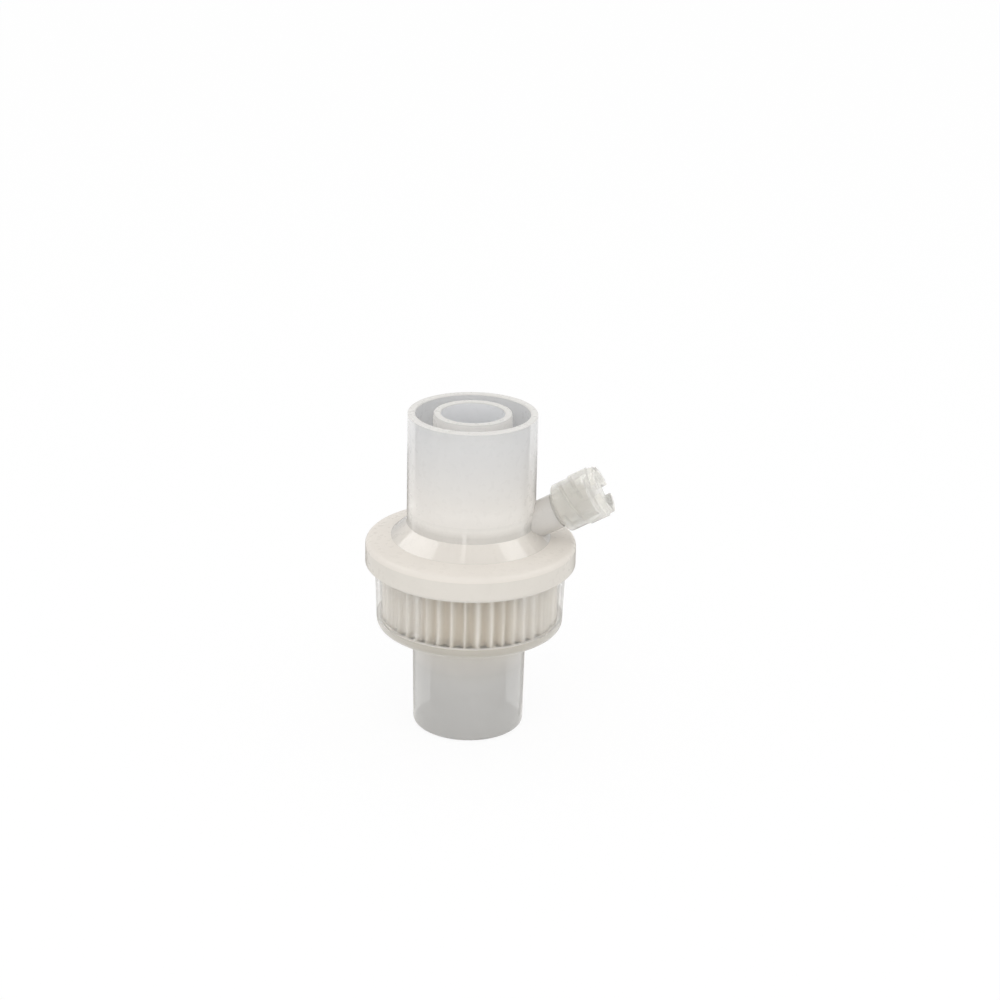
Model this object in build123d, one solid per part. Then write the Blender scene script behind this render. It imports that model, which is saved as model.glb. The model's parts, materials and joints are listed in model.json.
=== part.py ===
# Small heat and moisture exchanging filter for a breathing circuit.
# Two moulded housings close on a rolled paper element and a filter disc, and a luer cap closes the gas port.
# Millimetres, +Z up. The origin is the centre of the lower rim, on which the filter stands, and the port
# points along +X.
from build123d import *
import math
import os

# Overall stack of the moulded body
TOTAL_HEIGHT = 65.2
CUP_FLOOR_Z = 21.0
SKIRT_BOTTOM_Z = 34.3
SKIRT_TOP_Z = 39.0
SHOULDER_INNER_Z = 39.9
CONE_TOP_Z = 42.7
SOCKET_DEPTH = 19.2

# Conical connectors of breathing equipment, which taper 1 in 40 on the diameter
TAPER = 1 / 80
MALE_22_TIP_RADIUS = 11.0
FEMALE_15_MOUTH_RADIUS = 7.73
FEMALE_15_DEPTH = 16.0
FEMALE_22_MOUTH_RADIUS = 11.19
MALE_15_TIP_RADIUS = 7.62
LOWER_PASSAGE_RADIUS = 6.4
TIP_ROUND = 0.9
RIM_ROUND = 0.3

# Lower housing
CUP_BOTTOM_RADIUS = 18.4
CUP_TOP_RADIUS = 18.95
CUP_WALL = 0.9
CUP_FLOOR = 1.2
CUP_CORNER_ROUND = 1.6
BEAD_SET_BACK = 0.93
BEAD_HEIGHT = 0.6
ROOT_ROUND = 0.8
FLOOR_RIB_COUNT = 8
FLOOR_RIB_HEIGHT = 0.8
FLOOR_RIB_WIDTH = 1.0

# Upper housing
OUTER_TUBE_WALL = 1.44
INNER_TUBE_WALL = 1.42
SKIRT_WALL = 1.58
SKIRT_ROUND = 1.2
SHOULDER_INNER_RADIUS = 15.7
ROOF_WALL = 1.4
WEB_THICKNESS = 1.4
DOME_RIB_COUNT = 6
DOME_RIB_WIDTH = 0.8
DOME_RIB_INNER_RADIUS = 6.9
DOME_RIB_GAP = 0.1
DOME_RIB_TURN = -90.0

# Sampling port and its female luer
PORT_TILT = 29.4
PORT_COLLAR_X = 17.51
PORT_COLLAR_Z = 46.26
PORT_RADIUS = 3.5
PORT_SHOULDER_SET_BACK = 0.7
LUER_TAPER = 0.03
LUER_MOUTH_RADIUS = 2.17
LUER_DEPTH = 8.5
LUER_NECK_RADIUS = 3.2
LUG_RADIUS = 3.85
LUG_WIDTH = 3.4
LUG_THICKNESS = 0.8

# Luer cap
CAP_LENGTH = 8.2
CAP_RADIUS = 4.9
CAP_WALL = 0.85
CAP_END = 1.2
CAP_ROUND = 1.0
CAP_SEAT_GAP = 0.3
LUER_GAP = 0.05
PLUG_REACH = 2.0
PLUG_HOLLOW_RADIUS = 1.0
PLUG_HOLLOW_DEPTH = 3.5
GRIP_HEIGHT = 0.35
GRIP_LENGTH = 4.0
GRIP_SPAN = 64.0
CROWN_HEIGHT = 1.25
CROWN_WALL = 1.0
CROWN_SLOT_WIDTH = 1.9
CROWN_COUNT = 4
CROWN_TURN = 67.0

# Filter disc, clamped between the two housings
DISC_THICKNESS = 0.6
DISC_EDGE_GAP = 0.3
WELD_GAP = 0.2

# Paper element: fluted paper on a flat liner, rolled up in a spiral
PAPER_THICKNESS = 0.26
FLUTE_HEIGHT = 1.9
FLUTE_PITCH = 2.46
FLUTE_CREST = 0.8
FLUTE_FOOT = 0.6
FLUTE_WANDER = 0.08
FLUTE_WANDER_RATE = 7.3
LAYER_GAP = 0.3
FULL_TURNS = 6
STEADY_SHARE = 2 / 3
ROLL_START_ANGLE = 150.0
ROLL_EDGE_GAP = 0.15
ROLL_HEIGHT = 12.6

# How near an edge must lie to the place where it is looked for
EDGE_MATCH = 0.02

# Places worked out from the sizes above
SOCKET_FLOOR_Z = TOTAL_HEIGHT - SOCKET_DEPTH
DOME_TOP_Z = SOCKET_FLOOR_Z - WEB_THICKNESS
DISC_TOP_Z = SKIRT_TOP_Z - ROOF_WALL
CUP_TOP_Z = DISC_TOP_Z - DISC_THICKNESS
BEAD_TOP_Z = SKIRT_BOTTOM_Z
CUP_INSIDE_Z = CUP_FLOOR_Z + CUP_FLOOR
ROLL_BOTTOM_Z = CUP_INSIDE_Z + FLOOR_RIB_HEIGHT
TUBE_RADIUS = FEMALE_22_MOUTH_RADIUS + OUTER_TUBE_WALL
UPPER_PASSAGE_RADIUS = MALE_15_TIP_RADIUS - INNER_TUBE_WALL
SKIRT_INNER_RADIUS = CUP_TOP_RADIUS + WELD_GAP
SKIRT_RADIUS = SKIRT_INNER_RADIUS + SKIRT_WALL
BEAD_RADIUS = SKIRT_RADIUS - BEAD_SET_BACK
CUP_INNER_BOTTOM_RADIUS = CUP_BOTTOM_RADIUS - CUP_WALL
CUP_INNER_TOP_RADIUS = CUP_TOP_RADIUS - CUP_WALL
PORT_AXIS = Vector(math.cos(math.radians(PORT_TILT)), 0, math.sin(math.radians(PORT_TILT)))
LAYER_PITCH = FLUTE_HEIGHT + LAYER_GAP
ROLL_RADIUS = min(CUP_INNER_BOTTOM_RADIUS, CUP_INNER_TOP_RADIUS) - ROLL_EDGE_GAP
ROLL_CORE_RADIUS = ROLL_RADIUS - FLUTE_HEIGHT - FULL_TURNS * LAYER_PITCH
LUER_MOUTH_S = CAP_LENGTH - CAP_END - CAP_SEAT_GAP
PLUG_LENGTH = CAP_LENGTH - CAP_END + PLUG_REACH


def revolve_points(points):
    """A solid of revolution about Z from the corners (radius, height) of its half section."""
    profile = make_face(Polyline(*[(r, 0, z) for r, z in points], close=True))
    return revolve(profile, Axis.Z, 360)


def port_plane(s):
    """The plane across the port's axis, s mm outward of the cap's edge, with X level and Y pointing up."""
    origin = Vector(PORT_COLLAR_X, 0, PORT_COLLAR_Z) + PORT_AXIS * s
    return Plane(origin=origin, x_dir=(0, 1, 0), z_dir=PORT_AXIS)


def port_cone(s_from, s_to, r_from, r_to):
    """A cylinder or cone on the port's axis."""
    lower = port_plane(s_from) * Circle(r_from)
    upper = port_plane(s_to) * Circle(r_to)
    if r_from == r_to:
        return extrude(lower, s_to - s_from, dir=PORT_AXIS)
    return loft([lower.face(), upper.face()])


def edges_at(solid, radius, height):
    """The level circular edges of a solid at a radius and height."""
    found = []
    for edge in solid.edges().filter_by(GeomType.CIRCLE):
        if abs(edge.radius - radius) < EDGE_MATCH:
            if (edge.arc_center - Vector(0, 0, height)).length < EDGE_MATCH:
                found.append(edge)
    return found


def radial_bars(count, width, r_from, r_to, z_from, z_to, turn=0.0):
    """Straight bars that stand out from the axis like spokes."""
    bars = []
    for i in range(count):
        bar = Box(
            r_to - r_from,
            width,
            z_to - z_from,
            align=(Align.MIN, Align.CENTER, Align.MIN),
        )
        bars.append(Rot(0, 0, turn + i * 360 / count) * Pos(r_from, 0, z_from) * bar)
    return bars


def cup_outer_radius(z):
    """Outer radius of the drafted cup wall at a height."""
    share = (z - CUP_FLOOR_Z) / (CUP_TOP_Z - CUP_FLOOR_Z)
    return CUP_BOTTOM_RADIUS + share * (CUP_TOP_RADIUS - CUP_BOTTOM_RADIUS)


def lower_housing():
    """Clear cup with its 22 mm male cone, 15 mm female socket, weld bead and floor ribs."""
    cone_root_radius = MALE_22_TIP_RADIUS + TAPER * CUP_FLOOR_Z
    body = revolve_points(
        [
            (0, 0),
            (MALE_22_TIP_RADIUS, 0),
            (cone_root_radius, CUP_FLOOR_Z),
            (CUP_BOTTOM_RADIUS, CUP_FLOOR_Z),
            (CUP_TOP_RADIUS, CUP_TOP_Z),
            (0, CUP_TOP_Z),
        ]
    )
    body = fillet(edges_at(body, MALE_22_TIP_RADIUS, 0), TIP_ROUND)
    body = fillet(edges_at(body, CUP_BOTTOM_RADIUS, CUP_FLOOR_Z), CUP_CORNER_ROUND)
    body = fillet(edges_at(body, cone_root_radius, CUP_FLOOR_Z), ROOT_ROUND)

    inside = revolve_points(
        [
            (0, CUP_INSIDE_Z),
            (CUP_INNER_BOTTOM_RADIUS, CUP_INSIDE_Z),
            (CUP_INNER_TOP_RADIUS, CUP_TOP_Z),
            (0, CUP_TOP_Z),
        ]
    )
    inside = fillet(edges_at(inside, CUP_INNER_BOTTOM_RADIUS, CUP_INSIDE_Z), CUP_CORNER_ROUND / 2)
    socket = revolve_points(
        [
            (0, 0),
            (FEMALE_15_MOUTH_RADIUS, 0),
            (FEMALE_15_MOUTH_RADIUS - TAPER * FEMALE_15_DEPTH, FEMALE_15_DEPTH),
            (0, FEMALE_15_DEPTH),
        ]
    )
    passage = Cylinder(LOWER_PASSAGE_RADIUS, CUP_INSIDE_Z, align=(Align.CENTER, Align.CENTER, Align.MIN))
    bead = revolve_points(
        [
            (cup_outer_radius(BEAD_TOP_Z) - CUP_WALL / 2, BEAD_TOP_Z - BEAD_HEIGHT),
            (BEAD_RADIUS, BEAD_TOP_Z - BEAD_HEIGHT),
            (BEAD_RADIUS, BEAD_TOP_Z),
            (cup_outer_radius(BEAD_TOP_Z) - CUP_WALL / 2, BEAD_TOP_Z),
        ]
    )
    body = body - inside - socket - passage + bead
    body = chamfer(edges_at(body, FEMALE_15_MOUTH_RADIUS, 0), RIM_ROUND)

    ribs = radial_bars(
        FLOOR_RIB_COUNT,
        FLOOR_RIB_WIDTH,
        LOWER_PASSAGE_RADIUS,
        CUP_INNER_BOTTOM_RADIUS - CUP_CORNER_ROUND / 2,
        CUP_INSIDE_Z - CUP_FLOOR / 2,
        ROLL_BOTTOM_Z,
        180 / FLOOR_RIB_COUNT,
    )
    return body + ribs


def dome_inside():
    """The space under the roof of the upper housing, down to the filter disc."""
    cone_tilt = math.atan2(CONE_TOP_Z - SHOULDER_INNER_Z, SHOULDER_INNER_RADIUS - TUBE_RADIUS)
    cone_shift = ROOF_WALL * math.tan((math.pi / 2 - cone_tilt) / 2)
    return revolve_points(
        [
            (0, SKIRT_BOTTOM_Z),
            (SKIRT_INNER_RADIUS, SKIRT_BOTTOM_Z),
            (SKIRT_INNER_RADIUS, DISC_TOP_Z),
            (SHOULDER_INNER_RADIUS, SHOULDER_INNER_Z - ROOF_WALL),
            (TUBE_RADIUS - ROOF_WALL, CONE_TOP_Z - cone_shift),
            (TUBE_RADIUS - ROOF_WALL, DOME_TOP_Z),
            (0, DOME_TOP_Z),
        ]
    )


def port_stub():
    """The port's solid spigot, its stepped neck and the two lock lugs, before it is bored."""
    inner_end = -(PORT_COLLAR_X - TUBE_RADIUS + ROOF_WALL) / PORT_AXIS.X
    spigot = port_cone(inner_end, -PORT_SHOULDER_SET_BACK, PORT_RADIUS, PORT_RADIUS)
    neck = port_cone(-PORT_SHOULDER_SET_BACK, LUER_MOUTH_S, LUER_NECK_RADIUS, LUER_NECK_RADIUS)
    lug_sketch = Circle(LUG_RADIUS) & Rectangle(2 * LUG_RADIUS, LUG_WIDTH)
    lugs = extrude(port_plane(LUER_MOUTH_S - LUG_THICKNESS) * lug_sketch, LUG_THICKNESS, dir=PORT_AXIS)
    return spigot + neck + lugs


def port_bore():
    """The female luer cone and the gas way behind it."""
    cone_end = LUER_MOUTH_S - LUER_DEPTH
    end_radius = LUER_MOUTH_RADIUS - LUER_TAPER * LUER_DEPTH
    cone = port_cone(cone_end, LUER_MOUTH_S, end_radius, LUER_MOUTH_RADIUS)
    inner_end = -(PORT_COLLAR_X - TUBE_RADIUS + 2 * ROOF_WALL) / PORT_AXIS.X
    return cone + port_cone(inner_end, cone_end, end_radius, end_radius)


def upper_housing():
    """Coaxial 22 mm female and 15 mm male connector, web, cone, shoulder, skirt, ribs and port."""
    body = revolve_points(
        [
            (0, SKIRT_BOTTOM_Z),
            (SKIRT_RADIUS, SKIRT_BOTTOM_Z),
            (SKIRT_RADIUS, SKIRT_TOP_Z),
            (SHOULDER_INNER_RADIUS, SHOULDER_INNER_Z),
            (TUBE_RADIUS, CONE_TOP_Z),
            (TUBE_RADIUS, TOTAL_HEIGHT),
            (0, TOTAL_HEIGHT),
        ]
    )
    body = fillet(edges_at(body, SKIRT_RADIUS, SKIRT_TOP_Z), SKIRT_ROUND)
    body = body + port_stub()

    socket = revolve_points(
        [
            (MALE_15_TIP_RADIUS + TAPER * SOCKET_DEPTH, SOCKET_FLOOR_Z),
            (FEMALE_22_MOUTH_RADIUS - TAPER * SOCKET_DEPTH, SOCKET_FLOOR_Z),
            (FEMALE_22_MOUTH_RADIUS, TOTAL_HEIGHT),
            (MALE_15_TIP_RADIUS, TOTAL_HEIGHT),
        ]
    )
    passage = Pos(0, 0, DOME_TOP_Z) * Cylinder(
        UPPER_PASSAGE_RADIUS,
        SOCKET_DEPTH + WEB_THICKNESS,
        align=(Align.CENTER, Align.CENTER, Align.MIN),
    )
    ribs = radial_bars(
        DOME_RIB_COUNT,
        DOME_RIB_WIDTH,
        DOME_RIB_INNER_RADIUS,
        SKIRT_INNER_RADIUS - ROOF_WALL,
        DISC_TOP_Z + DOME_RIB_GAP,
        DOME_TOP_Z + WEB_THICKNESS / 2,
        DOME_RIB_TURN,
    )
    inside = dome_inside()
    for rib in ribs:
        inside = inside - rib
    body = body - inside - socket - passage - port_bore()
    rims = (
        edges_at(body, TUBE_RADIUS, TOTAL_HEIGHT)
        + edges_at(body, FEMALE_22_MOUTH_RADIUS, TOTAL_HEIGHT)
        + edges_at(body, MALE_15_TIP_RADIUS, TOTAL_HEIGHT)
        + edges_at(body, UPPER_PASSAGE_RADIUS, TOTAL_HEIGHT)
    )
    return fillet(rims, RIM_ROUND)


def filter_disc():
    """Flat disc of filter felt, clamped at its edge between the cup's rim and the roof."""
    return Pos(0, 0, CUP_TOP_Z) * Cylinder(
        SKIRT_INNER_RADIUS - DISC_EDGE_GAP,
        DISC_THICKNESS,
        align=(Align.CENTER, Align.CENTER, Align.MIN),
    )


def liner_radius(turned):
    """Inner radius of the liner: steady round the front, and stepping out by one layer at the back."""
    turns, share = divmod(turned / (2 * math.pi), 1)
    step = max(0.0, (share - STEADY_SHARE) / (1 - STEADY_SHARE))
    return ROLL_CORE_RADIUS + LAYER_PITCH * (turns + step * step * (3 - 2 * step))


def spiral_point(turned, offset):
    """A point on the rolled paper, offset outward from the liner's inner face."""
    radius = liner_radius(turned) + offset
    angle = turned + math.radians(ROLL_START_ANGLE)
    return (radius * math.cos(angle), radius * math.sin(angle))


def flute_angles():
    """The angle turned at the start of each flute, so that flutes keep about one pitch along the paper."""
    whole = 2 * math.pi * (FULL_TURNS + STEADY_SHARE)
    angles = [0.0]
    while angles[-1] < whole:
        pitch = FLUTE_PITCH * (1 + FLUTE_WANDER * math.sin(FLUTE_WANDER_RATE * angles[-1]))
        angles.append(angles[-1] + pitch / (liner_radius(angles[-1]) + FLUTE_HEIGHT / 2))
    return angles[:-1]


def paper_roll():
    """Spiral roll of single-faced corrugated paper, whose cells are open from end to end."""
    angles = flute_angles()
    inner_line = []
    outer_line = []
    cells = []
    for start, end in zip(angles, angles[1:]):
        span = end - start
        foot = span * FLUTE_FOOT / FLUTE_PITCH
        crest = span * FLUTE_CREST / FLUTE_PITCH
        rise = (span - foot - crest) / 2
        side = span * PAPER_THICKNESS / FLUTE_PITCH
        inner_line.append(spiral_point(start, 0))
        outer_line += [
            spiral_point(start, 2 * PAPER_THICKNESS),
            spiral_point(start + foot, 2 * PAPER_THICKNESS),
            spiral_point(start + foot + rise, FLUTE_HEIGHT),
            spiral_point(start + foot + rise + crest, FLUTE_HEIGHT),
        ]
        cells.append(
            [
                spiral_point(start + foot + side, PAPER_THICKNESS),
                spiral_point(start + foot + rise + side, FLUTE_HEIGHT - PAPER_THICKNESS),
                spiral_point(start + foot + rise + crest - side, FLUTE_HEIGHT - PAPER_THICKNESS),
                spiral_point(end - side, PAPER_THICKNESS),
            ]
        )
    inner_line.append(spiral_point(angles[-1], 0))
    outer_line.append(spiral_point(angles[-1], 2 * PAPER_THICKNESS))
    outline = Wire.make_polygon(outer_line + inner_line[::-1], close=True)
    holes = [Wire.make_polygon(cell, close=True) for cell in cells]
    sheet = Face(outline, holes)
    return Pos(0, 0, ROLL_BOTTOM_Z) * extrude(sheet, ROLL_HEIGHT, dir=(0, 0, 1))


def cap_grips():
    """Raised grip pads around the outer half of the cap, one below each tooth of the crown."""
    ring = Circle(CAP_RADIUS + GRIP_HEIGHT) - Circle(CAP_RADIUS - CAP_WALL / 2)
    half = math.radians(GRIP_SPAN / 2)
    reach = 2 * CAP_RADIUS
    wedge = make_face(
        Polyline(
            (0, 0),
            (reach, reach * math.tan(half)),
            (reach, -reach * math.tan(half)),
            close=True,
        )
    )
    pads = []
    for i in range(CROWN_COUNT):
        turn = CROWN_TURN + (i + 0.5) * 360 / CROWN_COUNT
        pad = ring & (Rot(0, 0, turn) * wedge)
        pads.append(extrude(port_plane(CAP_LENGTH - GRIP_LENGTH) * pad, GRIP_LENGTH, dir=PORT_AXIS))
    return pads


def cap_crown():
    """The slotted ring that stands on the cap's closed end."""
    ring = Circle(CAP_RADIUS) - Circle(CAP_RADIUS - CROWN_WALL)
    for i in range(CROWN_COUNT):
        turn = CROWN_TURN + i * 360 / CROWN_COUNT
        slot = Rot(0, 0, turn) * Pos(CAP_RADIUS, 0) * Rectangle(CAP_RADIUS, CROWN_SLOT_WIDTH)
        ring = ring - slot
    return extrude(port_plane(CAP_LENGTH) * ring, CROWN_HEIGHT, dir=PORT_AXIS)


def port_cap():
    """Luer lock cap: skirt, closed end, male luer plug, grip pads and slotted crown."""
    body = port_cone(0, CAP_LENGTH, CAP_RADIUS, CAP_RADIUS)
    body = fillet(body.edges().sort_by(Axis(port_plane(0).origin, PORT_AXIS))[0], CAP_ROUND)
    body = body - port_cone(0, CAP_LENGTH - CAP_END, CAP_RADIUS - CAP_WALL, CAP_RADIUS - CAP_WALL)
    plug_tip_s = CAP_LENGTH - CAP_END - PLUG_LENGTH
    mouth_radius = LUER_MOUTH_RADIUS - LUER_GAP
    tip_radius = mouth_radius - LUER_TAPER * (LUER_MOUTH_S - plug_tip_s)
    root_radius = mouth_radius + LUER_TAPER * CAP_SEAT_GAP
    plug = port_cone(plug_tip_s, CAP_LENGTH - CAP_END, tip_radius, root_radius)
    hollow = port_cone(plug_tip_s, plug_tip_s + PLUG_HOLLOW_DEPTH, PLUG_HOLLOW_RADIUS, PLUG_HOLLOW_RADIUS)
    body = body + (plug - hollow) + cap_crown()
    for pad in cap_grips():
        body = body + pad
    return body


def main():
    os.makedirs("parts", exist_ok=True)
    nodes = {
        "lower_housing": lower_housing(),
        "upper_housing": upper_housing(),
        "filter_disc": filter_disc(),
        "paper_roll": paper_roll(),
        "port_cap": port_cap(),
    }
    for name, shape in nodes.items():
        export_step(shape, f"parts/{name}.step")


main()
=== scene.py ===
import json
import math
import random

import bmesh
import bpy
from mathutils import Matrix, Vector


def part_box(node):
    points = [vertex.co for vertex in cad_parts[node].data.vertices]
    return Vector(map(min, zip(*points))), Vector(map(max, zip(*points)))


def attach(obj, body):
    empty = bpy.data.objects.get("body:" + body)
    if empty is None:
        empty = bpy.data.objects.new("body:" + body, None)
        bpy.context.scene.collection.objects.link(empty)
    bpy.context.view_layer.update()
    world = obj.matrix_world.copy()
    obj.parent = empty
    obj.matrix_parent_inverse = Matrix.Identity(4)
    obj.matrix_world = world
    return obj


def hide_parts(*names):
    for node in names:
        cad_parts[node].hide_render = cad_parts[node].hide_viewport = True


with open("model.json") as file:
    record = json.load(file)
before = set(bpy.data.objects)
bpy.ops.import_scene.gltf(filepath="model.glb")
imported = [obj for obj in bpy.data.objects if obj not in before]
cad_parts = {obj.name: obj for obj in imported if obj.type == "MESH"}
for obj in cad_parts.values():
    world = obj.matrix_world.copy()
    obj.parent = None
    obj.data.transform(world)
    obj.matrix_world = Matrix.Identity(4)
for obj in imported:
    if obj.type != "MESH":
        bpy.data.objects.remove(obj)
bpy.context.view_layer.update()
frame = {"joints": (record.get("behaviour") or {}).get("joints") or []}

# Lengths are worked out in millimetres and become metres when a mesh is made
MM = 0.001

# Places and sizes read from the frame
UPPER_LOW, UPPER_HIGH = (Vector(c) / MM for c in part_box("upper_housing"))
LOWER_HIGH = Vector(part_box("lower_housing")[1]) / MM
DISC_LOW, DISC_HIGH = (Vector(c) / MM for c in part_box("filter_disc"))
ROLL_LOW, ROLL_HIGH = (Vector(c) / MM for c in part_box("paper_roll"))
CAP_JOINT = next(j for j in frame["joints"] if j["name"] == "cap_pull")
PORT_AXIS = Vector(CAP_JOINT["axis"]).normalized()

# Moulded housings
TOP_Z = UPPER_HIGH.z
SKIRT_BOTTOM_Z = UPPER_LOW.z
SKIRT_RADIUS = UPPER_HIGH.y
SKIRT_TOP_Z = 39.0
SKIRT_ROUND = 1.2
SHOULDER_RADIUS = 15.7
SHOULDER_Z = 39.9
CONE_TOP_Z = 42.7
TUBE_RADIUS = 12.63
SOCKET_DEPTH = 19.2
WEB = 1.4
ROOF = 1.4
TAPER = 1 / 80
FEMALE_22 = 11.19
MALE_15 = 7.62
UPPER_PASSAGE = 6.2
RIM_ROUND = 0.3
CORNER_ROUND = 0.3
SHOULDER_ROUND = 0.35
SKIRT_EDGE_ROUND = 0.25
SKIRT_GAP = 0.2
DOME_RIBS = 6
DOME_RIB_WIDTH = 0.8
DOME_RIB_INNER = 6.9
DOME_RIB_DEPTH = 0.25
DOME_RIB_GAP = 0.05
DOME_RIB_DROP = 0.15
CUP_TOP_Z = LOWER_HIGH.z
CUP_FLOOR_Z = 21.0
CUP_FLOOR = 1.2
CUP_WALL = 0.9
CUP_BOTTOM_RADIUS = 18.4
CUP_TOP_RADIUS = 18.95
CUP_ROUND = 1.6
BEAD_RADIUS = LOWER_HIGH.y
BEAD_HEIGHT = 0.6
BEAD_ROUND = 0.1
BEAD_ROOT = 0.02
BEAD_ROOT_ROUND = 0.15
CUP_EDGE_ROUND = 0.1
CORNER_RISE = 0.25
TIP_RADIUS = 11.0
TIP_ROUND = 0.9
ROOT_ROUND = 0.8
SOCKET_15 = 7.73
SOCKET_15_DEPTH = 16.0
LOWER_PASSAGE = 6.4
LOWER_PASSAGE_ROUND = 0.2
FLOOR_RIBS = 8
FLOOR_RIB_WIDTH = 1.0
FLOOR_RIB_HEIGHT = 0.8

# Gas port and cap, along the port's axis from the cap's edge
PORT_ORIGIN = Vector((17.51, 0, 46.26))
PORT_RADIUS = 3.5
PORT_STEP = -0.7
NECK_RADIUS = 3.2
LUER_MOUTH = 6.7
LUER_RADIUS = 2.17
LUER_DEPTH = 8.5
LUER_TAPER = 0.03
LUG_RADIUS = 3.85
LUG_WIDTH = 3.4
LUG_LENGTH = 0.8
LUG_LAP = 0.3
SPIGOT_ROUND = 0.15
SPIGOT_LAP = 0.6
MOUTH_CHAMFER = 0.2
CAP_LENGTH = 8.2
CAP_RADIUS = 4.9
CAP_WALL = 0.85
CAP_END = 1.2
CAP_ROUND = 1.0
CAP_ROUND_SHARE = 0.7
CAP_EDGE_ROUND = 0.12
CAP_LIP = 0.02
LUER_GAP = 0.05
PLUG_TIP = -2.0
PLUG_HOLLOW = 1.0
PLUG_HOLLOW_DEPTH = 3.5
PLUG_HOLLOW_ROUND = 0.1
PLUG_TIP_ROUND = 0.15
PLUG_ROOT_ROUND = 0.2
GRIP_HEIGHT = 0.35
GRIP_LENGTH = 4.0
GRIP_SPAN = 64.0
GRIP_ROUND = 0.08
CROWN_HEIGHT = 1.25
CROWN_INSET = 0.01
CROWN_LAP = 0.1
CROWN_ROUND = 0.1
CROWN_WALL = 1.0
CROWN_SLOT = 1.9
CROWN_COUNT = 4
CROWN_TURN = 67.0
THREAD_STARTS = (0.0, math.pi)
THREAD_LEAD = 5.0
THREAD_TURNS = 0.95
THREAD_BEGIN = 0.9
THREAD_HALF_WIDTH = 0.35
THREAD_CREST_SHARE = 0.4
THREAD_HEIGHT = 0.28
THREAD_LAP = 0.05
THREAD_RUN_OUT = 10
THREAD_LEAST = 0.05

# Felt disc
DISC_ROUND = 0.2

# Rolled fluted paper; the spreads are the least and the greatest share from flute to flute
PAPER = 0.2
ROLL_GAP = 0.15
FLUTE_HEIGHT = 1.9
FLUTE_PITCH = 2.46
LAYER_PITCH = 2.2
FULL_TURNS = 6
STEADY_SHARE = 2 / 3
ROLL_START = 150.0
PAPER_SEED = 11
PITCH_SPREAD = (0.84, 1.16)
LEAN_SPREAD = (-0.06, 0.06)
HEIGHT_SPREAD = (0.93, 1.0)
CREST_SHARPNESS = 1.35
SWAY = 0.012
SWAY_WAVES = 2.4
SWAY_START = 0.6

# Fineness of the shapes, in edges round a full turn or steps along a part, and smoothing in degrees
SEGMENTS = 192
DISC_SEGMENTS = 128
CAP_SEGMENTS = 120
PORT_SEGMENTS = 96
ROUND_STEPS = 6
SMALL_ROUND_STEPS = 3
LUG_STEPS = 12
SECTOR_STEPS = 20
THREAD_STEPS = 90
FLUTE_STEPS = 14
SHEET_STEPS = 8
ON_AXIS = 1e-6
SMOOTHING = 28.0
PAPER_SMOOTHING = 50.0
THREAD_SMOOTHING = 40.0

# Moulded plastic: its gloss, and the faint unevenness of its colour and skin
PLASTIC_IOR = 1.49
SHEEN_ROUGHNESS = 0.4
SHEEN_TINT = (1.0, 0.975, 0.93, 1)
COAT_ROUGHNESS = 0.04
FLOW_SCALE = 120.0
FLOW_DETAIL = 2.0
FLOW_LOW = 0.35
FLOW_HIGH = 0.65
FLOW_SHADE = 0.975
FLOW_DEPTH = 0.00003
FLOW_STRENGTH = 0.5
FINE_SCALE = 900.0
FINE_DETAIL = 2.0
ROUGHNESS_SPREAD = 0.03

# Paper and felt: colours, the paper's going from painted shade in the flute valleys to painted light on
# the crests; fibres in cells per metre and their depth in metres
PAPER_PAINTED_SHADE_TINTS = [(0.0, (0.70, 0.63, 0.525)), (0.6, (0.80, 0.75, 0.66)), (1.0, (0.97, 0.93, 0.86))]
PAPER_GRAIN = [(0.3, (0.8, 0.79, 0.77)), (0.7, (1, 1, 1))]
PAPER_GRAIN_SHARE = 0.35
PAPER_FIBRES = (2500.0, 6.0)
PAPER_RELIEF = (0.00005, 0.6)
PAPER_ROUGHNESS = 0.85
FELT_TINTS = [(0.3, (0.72, 0.71, 0.68)), (0.7, (0.86, 0.85, 0.82))]
FELT_FIBRES = (3500.0, 8.0)
FELT_RELIEF = (0.0001, 0.8)
FELT_ROUGHNESS = 0.9
FELT_SHEEN = 0.3
DULL_SHINE = 0.2

# Which faces belong to which part: tolerances on radius and height
RIM_TOLERANCE = 0.05
PART_TOLERANCE = 0.1
INNER_TUBE_WALL = 1.5
# Faces higher than this over the foot of the paper are cup wall, lower ones the corner's painted shade
WALL_RISE = 0.2
CORNER_REACH = 1

# Studio, with its lengths in metres
WORLD_LIGHT = 0.93
WORLD_SEEN = 1.0
FLOOR_SIZE = 1.2
FLOOR_DROP = 0.00005
FLOOR_TONE = 0.98
FLOOR_ROUGHNESS = 0.9
FLOOR_SEEN_SHARE = 0.9
LAMP_AIM = Vector((0, 0, 40 * MM))

# Strip lamps that only the gloss shows: name, azimuth in degrees and width in metres
STRIPS = (("left_strip", -101, 0.5), ("right_strip", 94, 0.8))

# Dark wedges on the floor: name, side, and the two angles in degrees between which each one spreads
FLAGS = (("left_flag", -1, (-8.0, -38.0)), ("right_flag", 1, (2.0, 30.0)))
FLAG_START = 0.013
FLAG_REACH = 0.17
FLAG_HEIGHT = 0.00002
FLAG_TONE = 0.01


def rounded(corners, steps=ROUND_STEPS):
    """An outline from corners (radius, height, round), with an arc of that radius at each round corner."""
    points = []
    count = len(corners)
    for i, (r, z, size) in enumerate(corners):
        here = Vector((r, z))
        if not size:
            points.append(here)
            continue
        before = (Vector(corners[i - 1][:2]) - here).normalized()
        after = (Vector(corners[(i + 1) % count][:2]) - here).normalized()
        half = before.angle(after) / 2
        middle = here + (before + after).normalized() * (size / math.sin(half))
        start = here + before * (size / math.tan(half))
        end = here + after * (size / math.tan(half))
        sweep = (start - middle).angle_signed(end - middle)
        for k in range(steps + 1):
            turn = Matrix.Rotation(-sweep * k / steps, 2)
            points.append(middle + turn @ (start - middle))
    return points


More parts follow.
